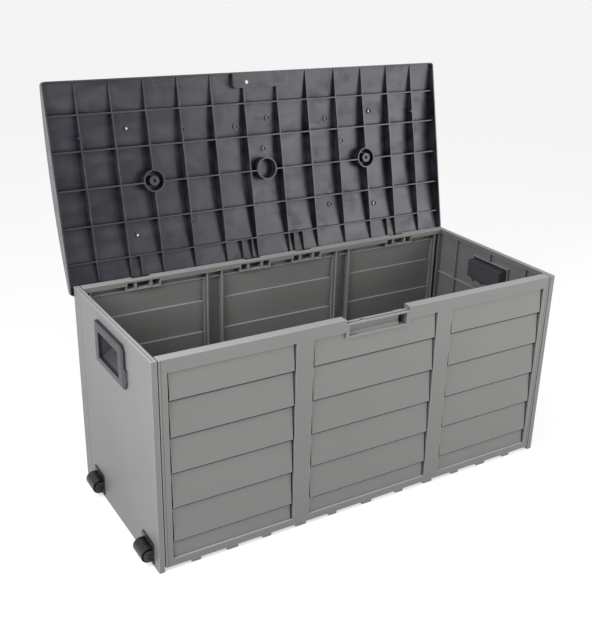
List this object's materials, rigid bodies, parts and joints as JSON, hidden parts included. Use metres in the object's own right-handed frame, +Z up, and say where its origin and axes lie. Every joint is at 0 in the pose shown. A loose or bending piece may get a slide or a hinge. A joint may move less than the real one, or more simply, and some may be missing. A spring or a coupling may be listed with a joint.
{
  "type": "deck storage box",
  "caption": "Rectangular deck storage box with lapped-board walls, a crowned hinged lid leaning open, recessed end grips and transport rollers at one end.",
  "frame": {"origin": "on the ground, in the middle of the body's footprint, on the foot of the floor's middle corrugation", "axes": "+X along the box, from the end with rollers to the plain end; +Y from the front to the hinged back; +Z up"},
  "size_m": [1.136, 0.5831, 0.9664],
  "materials": {
    "body_plastic": "light warm grey moulded polypropylene, fine matte texture",
    "lid_plastic": "charcoal moulded polypropylene, satin, scuffed inside",
    "handle_plastic": "dark grey moulded polypropylene, satin",
    "roller_plastic": "black moulded plastic, dull",
    "pin_steel": "zinc-plated steel"
  },
  "bodies": {
    "box": {"front_panel": "body_plastic", "back_panel": "body_plastic", "left_end_panel": "body_plastic", "right_end_panel": "body_plastic", "floor_panel": "body_plastic", "left_handle": "handle_plastic", "right_handle": "handle_plastic", "roller_bracket_front": "roller_plastic", "roller_bracket_rear": "roller_plastic", "roller_axle_front": "roller_plastic", "roller_axle_rear": "roller_plastic", "bracket_screws_front": "pin_steel", "bracket_screws_rear": "pin_steel", "hinge_pin_1": "pin_steel", "hinge_pin_2": "pin_steel", "hinge_pin_3": "pin_steel", "hinge_pin_4": "pin_steel"},
    "lid": {"lid": "lid_plastic"},
    "roller_front": {"roller_front": "roller_plastic"},
    "roller_rear": {"roller_rear": "roller_plastic"}
  },
  "joints": [
    {"name": "lid_hinge", "type": "hinge", "parent": "box", "child": "lid", "pos_m": [0, 0.232, 0.497], "axis": [1, 0, 0], "range_deg": [0, 102]},
    {"name": "roller_front_spin", "type": "hinge", "parent": "box", "child": "roller_front", "pos_m": [-0.5595, -0.176, 0.0315], "axis": [0, 1, 0], "continuous": true},
    {"name": "roller_rear_spin", "type": "hinge", "parent": "box", "child": "roller_rear", "pos_m": [-0.5595, 0.134, 0.0315], "axis": [0, 1, 0], "continuous": true}
  ]
}
